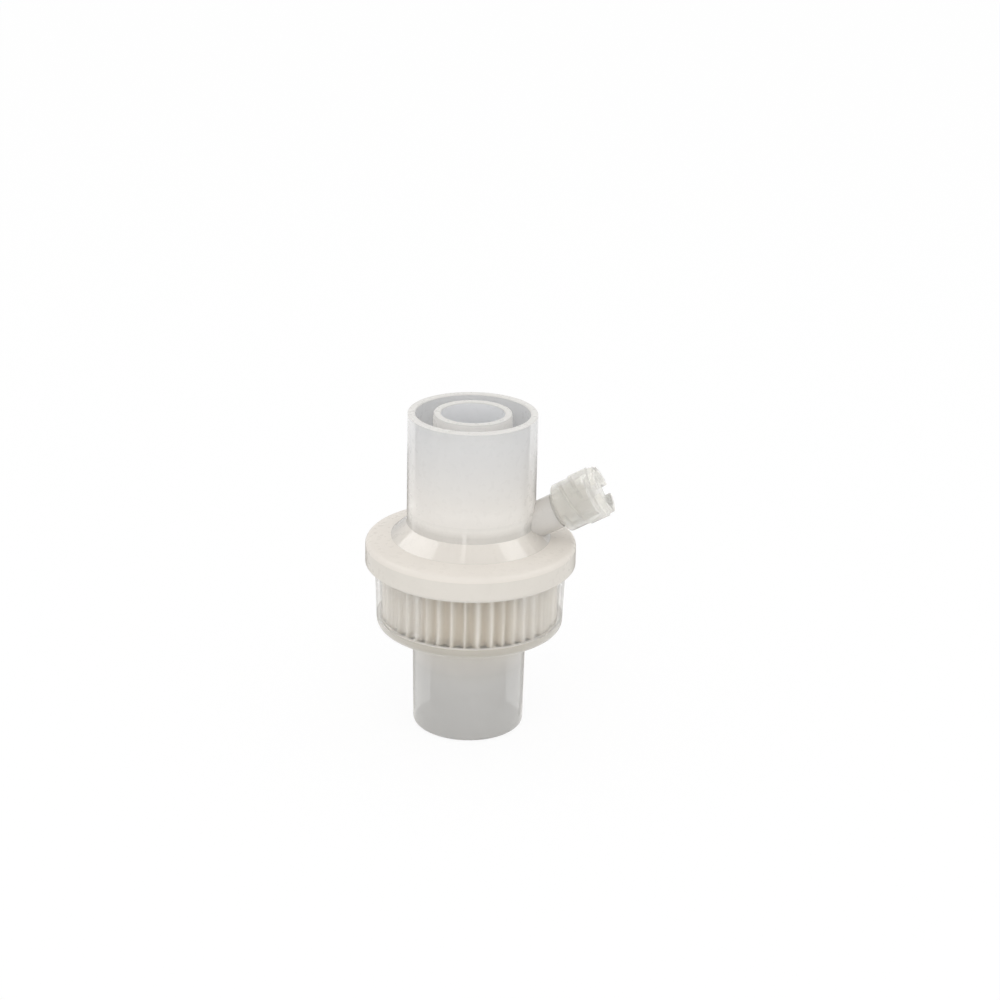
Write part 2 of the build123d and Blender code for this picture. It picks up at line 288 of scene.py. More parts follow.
def new_object(name, verts, faces, place=None):
    """A mesh object from points in millimetres, with its faces turned outwards."""
    mesh = bpy.data.meshes.new(name)
    mesh.from_pydata([tuple(Vector(v) * MM) for v in verts], [], faces)
    if place is not None:
        mesh.transform(Matrix.Scale(MM, 4) @ place @ Matrix.Scale(1 / MM, 4))
    bm = bmesh.new()
    bm.from_mesh(mesh)
    bmesh.ops.recalc_face_normals(bm, faces=bm.faces)
    bm.to_mesh(mesh)
    bm.free()
    obj = bpy.data.objects.new(name, mesh)
    bpy.context.collection.objects.link(obj)
    return obj


def smooth(obj, angle=SMOOTHING):
    """Smooth shading that keeps edges sharper than the angle."""
    obj.data.polygons.foreach_set("use_smooth", [True] * len(obj.data.polygons))
    obj.data.set_sharp_from_angle(angle=math.radians(angle))


def lathe(name, outline, segments=SEGMENTS, place=None):
    """A closed ring swept round the Z axis from an outline of (radius, height).

    Points on the axis are shared.
    """
    verts = []
    rows = []
    for r, z in outline:
        if r < ON_AXIS:
            rows.append([len(verts)] * segments)
            verts.append((0, 0, z))
            continue
        rows.append([len(verts) + k for k in range(segments)])
        for k in range(segments):
            turn = 2 * math.pi * k / segments
            verts.append((r * math.cos(turn), r * math.sin(turn), z))
    faces = []
    for a, b in zip(rows, rows[1:] + rows[:1]):
        for k in range(segments):
            n = (k + 1) % segments
            corners = []
            for c in (a[k], a[n], b[n], b[k]):
                if c not in corners:
                    corners.append(c)
            if len(corners) > 2:
                faces.append(corners)
    return new_object(name, verts, faces, place)


def bar(name, low, high, place=None):
    """A straight bar between two corners."""
    x0, y0, z0 = low
    x1, y1, z1 = high
    verts = [(x, y, z) for x in (x0, x1) for y in (y0, y1) for z in (z0, z1)]
    faces = [(0, 1, 3, 2), (4, 6, 7, 5), (0, 4, 5, 1), (2, 3, 7, 6), (0, 2, 6, 4), (1, 5, 7, 3)]
    return new_object(name, verts, faces, place)


def combine(obj, others, operation):
    """Joins the others to obj, or cuts them from it, and leaves one mesh."""
    for other in others:
        step = obj.modifiers.new("combine", "BOOLEAN")
        step.operation = operation
        step.solver = "EXACT"
        step.object = other
        graph = bpy.context.evaluated_depsgraph_get()
        mesh = bpy.data.meshes.new_from_object(obj.evaluated_get(graph))
        obj.modifiers.clear()
        obj.data = mesh
        bpy.data.objects.remove(other)
    return obj


def port_place():
    """The transform that takes a piece made round +Z to the port, with its X level and its Y upwards."""
    level = Vector((0, 1, 0))
    upward = PORT_AXIS.cross(level)
    turn = Matrix((level, upward, PORT_AXIS)).transposed().to_4x4()
    return Matrix.Translation(PORT_ORIGIN) @ turn


def shader_of(material):
    """The node tree of a material and its main shader."""
    material.use_nodes = True
    tree = material.node_tree
    return tree, tree.nodes["Principled BSDF"]


def add_node(tree, kind, **values):
    """A node with its inputs and settings given by name."""
    node = tree.nodes.new(kind)
    for name, value in values.items():
        if name in node.inputs:
            node.inputs[name].default_value = value
        else:
            setattr(node, name, value)
    return node


def noise(tree, scale, detail):
    """Noise in the object's own coordinates, with its scale in cells per metre."""
    place = add_node(tree, "ShaderNodeTexCoord")
    cells = add_node(tree, "ShaderNodeTexNoise", Scale=scale, Detail=detail)
    tree.links.new(place.outputs["Object"], cells.inputs["Vector"])
    return cells.outputs["Fac"]


def ramp(tree, factor, stops):
    """A colour ramp from (position, colour) stops."""
    node = tree.nodes.new("ShaderNodeValToRGB")
    elements = node.color_ramp.elements
    for stop in stops[len(elements):]:
        elements.new(stop[0])
    for element, (position, colour) in zip(elements, stops):
        element.position = position
        element.color = (*colour, 1)
    tree.links.new(factor, node.inputs["Fac"])
    return node.outputs["Color"]


def bump(tree, shader, height, distance, strength):
    """Bump from a height, with its distance in metres."""
    node = add_node(tree, "ShaderNodeBump", Strength=strength, Distance=distance)
    tree.links.new(height, node.inputs["Height"])
    tree.links.new(node.outputs["Normal"], shader.inputs["Normal"])


def height_share(tree, low, high, low_value=0.0, high_value=1.0):
    """A value that goes from one number to another between two heights of the object, in millimetres."""
    place = add_node(tree, "ShaderNodeTexCoord")
    split = add_node(tree, "ShaderNodeSeparateXYZ")
    tree.links.new(place.outputs["Object"], split.inputs["Vector"])
    limits = {"From Min": low * MM, "From Max": high * MM, "To Min": low_value, "To Max": high_value}
    share = add_node(tree, "ShaderNodeMapRange", **limits)
    tree.links.new(split.outputs["Z"], share.inputs["Value"])
    return share.outputs["Result"]


def multiply(tree, first, second, factor=1.0):
    """The first colour, darkened by the second one."""
    mix = add_node(tree, "ShaderNodeMix", data_type="RGBA", blend_type="MULTIPLY", Factor=factor)
    tree.links.new(first, mix.inputs["A"])
    tree.links.new(second, mix.inputs["B"])
    return mix.outputs["Result"]


def plastic(
    name,
    colour,
    alpha,
    transmission=0.0,
    roughness=0.28,
    gloss=0.15,
    sheen=0.0,
    shine=0.25,
    fade=None,
    veil=None,
):
    """Moulded plastic: glossy skin over a hazy body, with a faint flow in its colour and surface.

    fade is (low height, high height, colour at the high one): the colour changes with height, for a body
    that shows what lies behind it, and as painted shade at the foot of the lower socket.
    veil is (low height, high height, opacity at the high one), where alpha is the opacity at the low one.
    """
    material = bpy.data.materials.new(name)
    tree, shader = shader_of(material)
    settings = {
        "IOR": PLASTIC_IOR,
        "Specular IOR Level": shine,
        "Sheen Weight": sheen,
        "Sheen Roughness": SHEEN_ROUGHNESS,
        "Sheen Tint": SHEEN_TINT,
        "Alpha": alpha,
        "Transmission Weight": transmission,
        "Coat Weight": gloss,
        "Coat Roughness": COAT_ROUGHNESS,
        "Coat IOR": PLASTIC_IOR,
    }
    for socket, value in settings.items():
        shader.inputs[socket].default_value = value
    if veil is not None:
        low, high, thin = veil
        tree.links.new(height_share(tree, low, high, alpha, thin), shader.inputs["Alpha"])
    flow = noise(tree, FLOW_SCALE, FLOW_DETAIL)
    if fade is None:
        body = ramp(tree, flow, [(FLOW_LOW, [FLOW_SHADE * c for c in colour]), (FLOW_HIGH, colour)])
    else:
        low, high, far = fade
        tone = ramp(tree, flow, [(FLOW_LOW, [FLOW_SHADE] * 3), (FLOW_HIGH, [1] * 3)])
        body = multiply(tree, ramp(tree, height_share(tree, low, high), [(0.0, colour), (1.0, far)]), tone)
    tree.links.new(body, shader.inputs["Base Color"])
    limits = {"To Min": roughness - ROUGHNESS_SPREAD, "To Max": roughness + ROUGHNESS_SPREAD}
    rough = add_node(tree, "ShaderNodeMapRange", **limits)
    tree.links.new(noise(tree, FINE_SCALE, FINE_DETAIL), rough.inputs["Value"])
    tree.links.new(rough.outputs["Result"], shader.inputs["Roughness"])
    bump(tree, shader, flow, FLOW_DEPTH, FLOW_STRENGTH)
    return material


def paper_material():
    """Creamy uncoated paper with fibres, with painted light on the crests of its flutes and painted shade
    in the valleys.
    """
    material = bpy.data.materials.new("creamy_paper_painted_shade")
    tree, shader = shader_of(material)
    shader.inputs["Roughness"].default_value = PAPER_ROUGHNESS
    shader.inputs["Specular IOR Level"].default_value = DULL_SHINE
    shade = add_node(tree, "ShaderNodeAttribute", attribute_name="crest", attribute_type="GEOMETRY")
    fibres = noise(tree, *PAPER_FIBRES)
    painted_shade = ramp(tree, shade.outputs["Fac"], PAPER_PAINTED_SHADE_TINTS)
    body = multiply(tree, painted_shade, ramp(tree, fibres, PAPER_GRAIN), PAPER_GRAIN_SHARE)
    tree.links.new(body, shader.inputs["Base Color"])
    bump(tree, shader, fibres, *PAPER_RELIEF)
    return material


def felt_material():
    """White filter felt with a fine web of fibres."""
    material = bpy.data.materials.new("filter_felt")
    tree, shader = shader_of(material)
    shader.inputs["Roughness"].default_value = FELT_ROUGHNESS
    shader.inputs["Specular IOR Level"].default_value = DULL_SHINE
    shader.inputs["Sheen Weight"].default_value = FELT_SHEEN
    fibres = noise(tree, *FELT_FIBRES)
    tree.links.new(ramp(tree, fibres, FELT_TINTS), shader.inputs["Base Color"])
    bump(tree, shader, fibres, *FELT_RELIEF)
    return material


def upper_housing():
    """Coaxial tubes, web, cone, shoulder and skirt in one ring, with the gas port joined on and bored."""
    socket_floor = TOP_Z - SOCKET_DEPTH
    dome_top = socket_floor - WEB
    skirt_inner = CUP_TOP_RADIUS + SKIRT_GAP
    cone_tilt = math.atan2(CONE_TOP_Z - SHOULDER_Z, SHOULDER_RADIUS - TUBE_RADIUS)
    cone_shift = ROOF * math.tan((math.pi / 2 - cone_tilt) / 2)
    outline = rounded(
        [
            (skirt_inner, SKIRT_BOTTOM_Z, 0),
            (SKIRT_RADIUS, SKIRT_BOTTOM_Z, SKIRT_EDGE_ROUND),
            (SKIRT_RADIUS, SKIRT_TOP_Z, SKIRT_ROUND),
            (SHOULDER_RADIUS, SHOULDER_Z, SHOULDER_ROUND),
            (TUBE_RADIUS, CONE_TOP_Z, CORNER_ROUND),
            (TUBE_RADIUS, socket_floor, 0),
            (TUBE_RADIUS, TOP_Z, RIM_ROUND),
            (FEMALE_22, TOP_Z, RIM_ROUND),
            (FEMALE_22 - TAPER * SOCKET_DEPTH, socket_floor, CORNER_ROUND),
            (MALE_15 + TAPER * SOCKET_DEPTH, socket_floor, CORNER_ROUND),
            (MALE_15, TOP_Z, RIM_ROUND),
            (UPPER_PASSAGE, TOP_Z, RIM_ROUND),
            (UPPER_PASSAGE, dome_top, CORNER_ROUND),
            (TUBE_RADIUS - ROOF, dome_top, CORNER_ROUND),
            (TUBE_RADIUS - ROOF, CONE_TOP_Z - cone_shift, CORNER_ROUND),
            (SHOULDER_RADIUS, SHOULDER_Z - ROOF, CORNER_ROUND),
            (skirt_inner, DISC_HIGH.z, 0),
        ]
    )
    body = lathe("upper_housing_moulding", outline)
    place = port_place()
    inner_end = -(PORT_ORIGIN.x - TUBE_RADIUS + ROOF * SPIGOT_LAP) / PORT_AXIS.x
    spigot = rounded(
        [
            (0, inner_end, 0),
            (PORT_RADIUS, inner_end, 0),
            (PORT_RADIUS, PORT_STEP, SPIGOT_ROUND),
            (NECK_RADIUS, PORT_STEP, 0),
            (NECK_RADIUS, LUER_MOUTH, SPIGOT_ROUND),
            (0, LUER_MOUTH, 0),
        ],
        SMALL_ROUND_STEPS,
    )
    combine(body, [lathe("spigot", spigot, PORT_SEGMENTS, place)], "UNION")
    combine(body, port_lugs(place), "UNION")
    luer_end = LUER_MOUTH - LUER_DEPTH
    end_radius = LUER_RADIUS - LUER_TAPER * LUER_DEPTH
    bore_start = -(PORT_ORIGIN.x - TUBE_RADIUS + 2 * ROOF) / PORT_AXIS.x
    bore = [
        (0, bore_start),
        (end_radius, bore_start),
        (end_radius, luer_end),
        (LUER_RADIUS, LUER_MOUTH),
        (LUER_RADIUS + MOUTH_CHAMFER, LUER_MOUTH + MOUTH_CHAMFER),
        (0, LUER_MOUTH + MOUTH_CHAMFER),
    ]
    combine(body, [lathe("bore", bore, PORT_SEGMENTS, place)], "DIFFERENCE")
    return body


def dome_ribs():
    """Thin ribs under the dome, whose outer edges lie just under its skin."""
    foot = DISC_HIGH.z + DOME_RIB_GAP
    web = TOP_Z - SOCKET_DEPTH - WEB / 2
    reach = CUP_TOP_RADIUS + SKIRT_GAP - ROOF
    depth = DOME_RIB_DEPTH
    half = DOME_RIB_WIDTH / 2
    corners = [
        (DOME_RIB_INNER, foot),
        (reach, foot),
        (reach, SHOULDER_Z - ROOF - DOME_RIB_DROP),
        (SHOULDER_RADIUS - depth, SHOULDER_Z - depth),
        (TUBE_RADIUS - depth, CONE_TOP_Z - depth),
        (TUBE_RADIUS - depth, web),
        (DOME_RIB_INNER, web),
    ]
    n = len(corners)
    verts = []
    faces = []
    for i in range(DOME_RIBS):
        turn = math.radians(-90 + i * 360 / DOME_RIBS)
        base = len(verts)
        for side in (-half, half):
            for r, z in corners:
                x = r * math.cos(turn) - side * math.sin(turn)
                y = r * math.sin(turn) + side * math.cos(turn)
                verts.append((x, y, z))
        faces.append([base + k for k in range(n)])
        faces.append([base + k for k in range(2 * n - 1, n - 1, -1)])
        for k in range(n):
            after = (k + 1) % n
            faces.append([base + m for m in (k, after, n + after, n + k)])
    return new_object("dome_ribs", verts, faces)


def port_lugs(place):
    """The two lock lugs at the port's mouth, rounded like the ring that they are cut from."""
    lugs = []
    half_angle = math.asin(LUG_WIDTH / 2 / LUG_RADIUS)
    for side in (0, math.pi):
        verts = []
        for z in (LUER_MOUTH - LUG_LENGTH, LUER_MOUTH):
            for r in (NECK_RADIUS - LUG_LAP, LUG_RADIUS):
                for k in range(LUG_STEPS + 1):
                    turn = side + math.pi / 2 - half_angle + 2 * half_angle * k / LUG_STEPS
                    verts.append((r * math.cos(turn), r * math.sin(turn), z))
        row = LUG_STEPS + 1
        faces = []
        for k in range(LUG_STEPS):
            faces.append((k, k + 1, row + k + 1, row + k))
            faces.append((2 * row + k, 3 * row + k, 3 * row + k + 1, 2 * row + k + 1))
            faces.append((k, 2 * row + k, 2 * row + k + 1, k + 1))
            faces.append((row + k, row + k + 1, 3 * row + k + 1, 3 * row + k))
        faces.append((0, row, 3 * row, 2 * row))
        end = LUG_STEPS
        faces.append((end, 2 * row + end, 3 * row + end, row + end))
        lugs.append(new_object("lug", verts, faces, place))
    return lugs


def lower_housing():
    """Clear cup, floor, lower tube and weld bead in one ring, with ribs on the floor."""
    inside_z = CUP_FLOOR_Z + CUP_FLOOR
    bead_z = SKIRT_BOTTOM_Z
    flare = (CUP_TOP_RADIUS - CUP_BOTTOM_RADIUS) / (CUP_TOP_Z - CUP_FLOOR_Z)
    wall_at_bead = CUP_BOTTOM_RADIUS + flare * (bead_z - CUP_FLOOR_Z)
    seam = ROLL_LOW.z + CORNER_RISE
    wall_at_seam = CUP_BOTTOM_RADIUS + flare * (seam - CUP_FLOOR_Z)
    outline = rounded(
        [
            (SOCKET_15, 0, RIM_ROUND),
            (TIP_RADIUS, 0, TIP_ROUND),
            (TIP_RADIUS + TAPER * CUP_FLOOR_Z, CUP_FLOOR_Z, ROOT_ROUND),
            (CUP_BOTTOM_RADIUS, CUP_FLOOR_Z, CUP_ROUND),
            (wall_at_seam, seam, 0),
            (wall_at_bead - BEAD_ROOT, bead_z - BEAD_HEIGHT, BEAD_ROOT_ROUND),
            (BEAD_RADIUS, bead_z - BEAD_HEIGHT, BEAD_ROUND),
            (BEAD_RADIUS, bead_z, BEAD_ROUND),
            (wall_at_bead, bead_z, 0),
            (CUP_TOP_RADIUS, CUP_TOP_Z, CUP_EDGE_ROUND),
            (CUP_TOP_RADIUS - CUP_WALL, CUP_TOP_Z, CUP_EDGE_ROUND),
            (wall_at_seam - CUP_WALL, seam, 0),
            (CUP_BOTTOM_RADIUS - CUP_WALL, inside_z, CUP_ROUND / 2),
            (LOWER_PASSAGE, inside_z, LOWER_PASSAGE_ROUND),
            (LOWER_PASSAGE, SOCKET_15_DEPTH, LOWER_PASSAGE_ROUND),
            (SOCKET_15 - TAPER * SOCKET_15_DEPTH, SOCKET_15_DEPTH, LOWER_PASSAGE_ROUND),
        ]
    )
    body = lathe("lower_housing_moulding", outline)
    reach = CUP_BOTTOM_RADIUS - CUP_WALL - CUP_ROUND / 2
    low = (LOWER_PASSAGE, -FLOOR_RIB_WIDTH / 2, inside_z - CUP_FLOOR / 2)
    high = (reach, FLOOR_RIB_WIDTH / 2, inside_z + FLOOR_RIB_HEIGHT)
    ribs = []
    for i in range(FLOOR_RIBS):
        turn = math.radians(180 / FLOOR_RIBS + i * 360 / FLOOR_RIBS)
        ribs.append(bar("floor_rib", low, high, Matrix.Rotation(turn, 4, "Z")))
    return combine(body, ribs, "UNION")


def felt_disc():
    """Filter disc with softly pressed edges."""
    radius = DISC_HIGH.y
    outline = rounded(
        [
            (0, DISC_LOW.z, 0),
            (radius, DISC_LOW.z, DISC_ROUND),
            (radius, DISC_HIGH.z, DISC_ROUND),
            (0, DISC_HIGH.z, 0),
        ],
        SMALL_ROUND_STEPS,
    )
    return lathe("felt_disc", outline, DISC_SEGMENTS)


def liner_radius(turned):
    """Radius of the rolled liner: steady round the front, and stepping out by one layer at the back."""
    core = CUP_BOTTOM_RADIUS - CUP_WALL - ROLL_GAP - FLUTE_HEIGHT - FULL_TURNS * LAYER_PITCH
    turns, share = divmod(turned / (2 * math.pi), 1)
    step = max(0.0, (share - STEADY_SHARE) / (1 - STEADY_SHARE))
    return core + LAYER_PITCH * (turns + step * step * (3 - 2 * step))


def paper_path(draw):
    """Points along the fluted sheet: (angle turned, height of the sheet over the liner, crest share)."""
    whole = 2 * math.pi * (FULL_TURNS + STEADY_SHARE)
    turned = 0.0
    path = []
    while turned < whole:
        span = FLUTE_PITCH * draw.uniform(*PITCH_SPREAD) / (liner_radius(turned) + FLUTE_HEIGHT / 2)
        lean = draw.uniform(*LEAN_SPREAD)
        tall = draw.uniform(*HEIGHT_SPREAD)
        for k in range(FLUTE_STEPS):
            share = k / FLUTE_STEPS
            wave = 0.5 - 0.5 * math.cos(2 * math.pi * share)
            crest = wave ** CREST_SHARPNESS
            slide = share + lean * math.sin(2 * math.pi * share)
            path.append((turned + span * slide, PAPER + (FLUTE_HEIGHT - 2 * PAPER) * crest * tall, crest))
        turned += span
    return path


def ribbon(name, rows, shades, levels):
    """A closed sheet from rows of (inner point, outer point), repeated at each level of (height, turn)."""
    verts = []
    crest = []
    for z, turn in levels:
        cos = math.cos(turn)
        sin = math.sin(turn)
        for pair, shade in zip(rows, shades):
            for x, y in pair:
                verts.append((x * cos - y * sin, x * sin + y * cos, z))
                crest.append(shade)
    faces = []
    row = 2 * len(rows)
    last = len(levels) - 1
    for i in range(len(rows) - 1):
        a = 2 * i
        for j in range(last):
            low = j * row
            high = low + row
            faces.append((low + a, low + a + 2, high + a + 2, high + a))
            faces.append((low + a + 1, high + a + 1, high + a + 3, low + a + 3))
        faces.append((a, a + 1, a + 3, a + 2))
        top = last * row + a
        faces.append((top, top + 2, top + 3, top + 1))
    for j in range(last):
        low = j * row
        high = low + row
        faces.append((low, high, high + 1, low + 1))
        end = row - 2
        faces.append((low + end, low + end + 1, high + end + 1, high + end))
    obj = new_object(name, verts, faces)
    # Crest share at each point, which the paper's colour turns into painted shade in the valleys and
    # painted light on the crests
    values = obj.data.attributes.new("crest", "FLOAT", "POINT")
    values.data.foreach_set("value", crest)
    return obj


def rolled_paper():
    """The fluted sheet and its flat liner, rolled up together."""
    path = paper_path(random.Random(PAPER_SEED))
    start = math.radians(ROLL_START)

    def at(turned, offset):
        radius = liner_radius(turned) + offset
        return (radius * math.cos(turned + start), radius * math.sin(turned + start))

    fluted = [(at(turned, rise), at(turned, rise + PAPER)) for turned, rise, crest in path]
    crests = [crest for turned, rise, crest in path]
    levels = []
    for k in range(SHEET_STEPS + 1):
        share = k / SHEET_STEPS
        z = ROLL_LOW.z + (ROLL_HIGH.z - ROLL_LOW.z) * share
        levels.append((z, SWAY * math.sin(SWAY_WAVES * share + SWAY_START)))
    sheet = ribbon("fluted_sheet", fluted, crests, levels)
    liner = [(at(turned, 0), at(turned, PAPER)) for turned, rise, crest in path[::2]]
    # The liner takes the valley end of the paper's colour, its darkest painted shade
    back = ribbon("paper_liner", liner, [0.0] * len(liner), [levels[0], levels[-1]])
    for piece in (sheet, back):
        smooth(piece, PAPER_SMOOTHING)
    return sheet, back


def port_cap():
    """Cap made round its own axis: skirt, closed end and luer plug, with grips and crown joined on."""
    inner = CAP_RADIUS - CAP_WALL
    inner_end = CAP_LENGTH - CAP_END
    mouth = LUER_RADIUS - LUER_GAP
    tip = mouth - LUER_TAPER * (LUER_MOUTH - PLUG_TIP)
    root = mouth + LUER_TAPER * (inner_end - LUER_MOUTH)
    hollow_end = PLUG_TIP + PLUG_HOLLOW_DEPTH
    outline = rounded(
        [
            (0, hollow_end, 0),
            (PLUG_HOLLOW, hollow_end, PLUG_HOLLOW_ROUND),
            (PLUG_HOLLOW, PLUG_TIP, PLUG_HOLLOW_ROUND),
            (tip, PLUG_TIP, PLUG_TIP_ROUND),
            (root, inner_end, PLUG_ROOT_ROUND),
            (inner, inner_end, PLUG_ROOT_ROUND),
            (inner, CAP_LIP, 0),
            (CAP_RADIUS - CAP_ROUND, 0, 0),
            (CAP_RADIUS, 0, CAP_ROUND * CAP_ROUND_SHARE),
            (CAP_RADIUS, CAP_LENGTH, CAP_EDGE_ROUND),
            (0, CAP_LENGTH, 0),
        ]
    )
    body = lathe("port_cap_moulding", outline, CAP_SEGMENTS)
    combine(body, cap_sectors(), "UNION")
    body.data.transform(Matrix.Scale(MM, 4) @ port_place() @ Matrix.Scale(1 / MM, 4))
    return body


def sector(name, inner, outer, low, high, middle, half, round_off):
    """A block of a ring between two radii and two heights, round the middle angle."""
    profile = rounded(
        [(inner, low, 0), (outer, low, round_off), (outer, high, round_off), (inner, high, 0)],
        SMALL_ROUND_STEPS,
    )
    n = len(profile)
    verts = []
    for k in range(SECTOR_STEPS + 1):
        turn = middle - half + 2 * half * k / SECTOR_STEPS
        verts += [(r * math.cos(turn), r * math.sin(turn), z) for r, z in profile]
    faces = [list(range(n)), [SECTOR_STEPS * n + k for k in range(n - 1, -1, -1)]]
    for k in range(SECTOR_STEPS):
        for i in range(n):
            j = (i + 1) % n
            faces.append((k * n + i, k * n + j, (k + 1) * n + j, (k + 1) * n + i))
    return new_object(name, verts, faces)


def cap_sectors():
    """The grip pads, and the teeth left between the crown's slots."""
    blocks = []
    slot_half = CROWN_SLOT / 2 / (CAP_RADIUS - CROWN_WALL / 2)
    for i in range(CROWN_COUNT):
        middle = math.radians(CROWN_TURN + (i + 0.5) * 360 / CROWN_COUNT)
        blocks.append(
            sector(
                "grip",
                CAP_RADIUS - CAP_WALL / 2,
                CAP_RADIUS + GRIP_HEIGHT,
                CAP_LENGTH - GRIP_LENGTH,
                CAP_LENGTH,
                middle,
                math.radians(GRIP_SPAN / 2),
                GRIP_ROUND,
            )
        )
        blocks.append(
            sector(
                "tooth",
                CAP_RADIUS - CROWN_WALL,
                CAP_RADIUS - CROWN_INSET,
                CAP_LENGTH - CROWN_LAP,
                CAP_LENGTH + CROWN_HEIGHT,
                middle,
                math.pi / CROWN_COUNT - slot_half,
                CROWN_ROUND,
            )
        )
    return blocks


def cap_thread():
    """Two starts of the lock thread inside the skirt, as a ridge that stands in from the wall."""
    outer = CAP_RADIUS - CAP_WALL + THREAD_LAP
    inner = CAP_RADIUS - CAP_WALL - THREAD_HEIGHT
    foot = THREAD_HALF_WIDTH
    top = THREAD_HALF_WIDTH * THREAD_CREST_SHARE
    verts = []
    faces = []
    for begin in THREAD_STARTS:
        base = len(verts)
        for k in range(THREAD_STEPS + 1):
            share = k / THREAD_STEPS
            turn = begin + 2 * math.pi * THREAD_TURNS * share
            z = THREAD_BEGIN + THREAD_LEAD * THREAD_TURNS * share
            fade = min(1.0, THREAD_RUN_OUT * share, THREAD_RUN_OUT * (1 - share))
            tip = outer + (inner - outer) * max(fade, THREAD_LEAST)
            for r, dz in ((outer, -foot), (tip, -top), (tip, top), (outer, foot)):
                verts.append((r * math.cos(turn), r * math.sin(turn), z + dz))
        for k in range(THREAD_STEPS):
            a = base + 4 * k
            for i in range(4):
                j = (i + 1) % 4
                faces.append((a + i, a + j, a + 4 + j, a + 4 + i))
        faces.append((base, base + 1, base + 2, base + 3))
        end = base + 4 * THREAD_STEPS
        faces.append((end + 3, end + 2, end + 1, end))
    return new_object("cap_lock_thread", verts, faces, port_place())


def direction_from(azimuth, elevation):
    """The direction from the object to a place, with its azimuth counted from the front towards +X."""
    level = math.cos(elevation)
    return Vector((math.sin(azimuth) * level, -math.cos(azimuth) * level, math.sin(elevation)))


def add_camera():
    """The camera, from a fit to the rims in the photograph: aim, distance, lens and a slight roll."""
    azimuth = math.radians(5.0)
    elevation = math.radians(20.889)
    distance = 500.0
    focal_pixels = 2472.4
    roll = math.radians(1.275)
    slide_right = -6.555
    slide_up = -43.977
    image_width = 1000
    sensor = 36.0
    back = direction_from(azimuth, elevation)
    right = Vector((math.cos(azimuth), math.sin(azimuth), 0))
    up = back.cross(right)
    right, up = (
        math.cos(roll) * right + math.sin(roll) * up,
        -math.sin(roll) * right + math.cos(roll) * up,
    )
    data = bpy.data.cameras.new("camera")
    data.sensor_width = sensor
    data.lens = focal_pixels * sensor / image_width
    data.clip_start = 0.01
    camera = bpy.data.objects.new("camera", data)
    place = (distance * back - slide_right * right - slide_up * up) * MM
    turn = Matrix((right, up, back)).transposed().to_4x4()
    camera.matrix_world = Matrix.Translation(place) @ turn
    bpy.context.collection.objects.link(camera)
    bpy.context.scene.camera = camera


def add_softbox(name, azimuth, elevation, distance, width, height, radiance):
    """A rectangular lamp that faces the object, with its sizes and distance in metres."""
    data = bpy.data.lights.new(name, "AREA")
    data.shape = "RECTANGLE"
    data.size = width
    data.size_y = height
    data.energy = radiance * math.pi * width * height
    lamp = bpy.data.objects.new(name, data)
    direction = direction_from(math.radians(azimuth), math.radians(elevation))
    lamp.location = LAMP_AIM + direction * distance
    lamp.rotation_euler = (-direction).to_track_quat("-Z", "Y").to_euler()
    bpy.context.collection.objects.link(lamp)
    return lamp


def seen_rays(tree):
    """1 for rays from the camera and through or off shiny surfaces, 0 for light that falls on things."""
    path = tree.nodes.new("ShaderNodeLightPath")
    add = add_node(tree, "ShaderNodeMath", operation="ADD")
    tree.links.new(path.outputs["Is Camera Ray"], add.inputs[0])
    tree.links.new(path.outputs["Is Glossy Ray"], add.inputs[1])
    more = add_node(tree, "ShaderNodeMath", operation="ADD", use_clamp=True)
    tree.links.new(add.outputs[0], more.inputs[0])
    tree.links.new(path.outputs["Is Transmission Ray"], more.inputs[1])
    return more.outputs[0]


def add_world():
    """White where it is seen, and a softer white where it lights the object."""
    world = bpy.data.worlds.new("studio")
    world.use_nodes = True
    bpy.context.scene.world = world
    tree = world.node_tree
    background = tree.nodes["Background"]
    background.inputs["Color"].default_value = (1, 1, 1, 1)
    strength = add_node(tree, "ShaderNodeMapRange", **{"To Min": WORLD_LIGHT, "To Max": WORLD_SEEN})
    tree.links.new(seen_rays(tree), strength.inputs["Value"])
    tree.links.new(strength.outputs["Result"], background.inputs["Strength"])


def add_floor():
    """A pale floor that is seen as white and keeps a soft shadow."""
    mesh = bpy.data.meshes.new("floor")
    corners = [(x * FLOOR_SIZE, y * FLOOR_SIZE, 0) for x, y in ((-1, -1), (1, -1), (1, 1), (-1, 1))]
    mesh.from_pydata(corners, [], [(0, 1, 2, 3)])
    floor = bpy.data.objects.new("floor", mesh)
    floor.location.z = -FLOOR_DROP
    bpy.context.collection.objects.link(floor)
    material = bpy.data.materials.new("floor_white")
    tree, shader = shader_of(material)
    shader.inputs["Base Color"].default_value = (FLOOR_TONE, FLOOR_TONE, FLOOR_TONE, 1)
    shader.inputs["Roughness"].default_value = FLOOR_ROUGHNESS
    shader.inputs["Specular IOR Level"].default_value = 0.0
    glow = add_node(tree, "ShaderNodeEmission", Strength=1.0)
    mix = tree.nodes.new("ShaderNodeMixShader")
    share = add_node(tree, "ShaderNodeMath", operation="MULTIPLY")
    share.inputs[1].default_value = FLOOR_SEEN_SHARE
    tree.links.new(seen_rays(tree), share.inputs[0])
    tree.links.new(share.outputs[0], mix.inputs["Fac"])
    tree.links.new(shader.outputs["BSDF"], mix.inputs[1])
    tree.links.new(glow.outputs["Emission"], mix.inputs[2])
    tree.links.new(mix.outputs["Shader"], tree.nodes["Material Output"].inputs["Surface"])
    floor.data.materials.append(material)


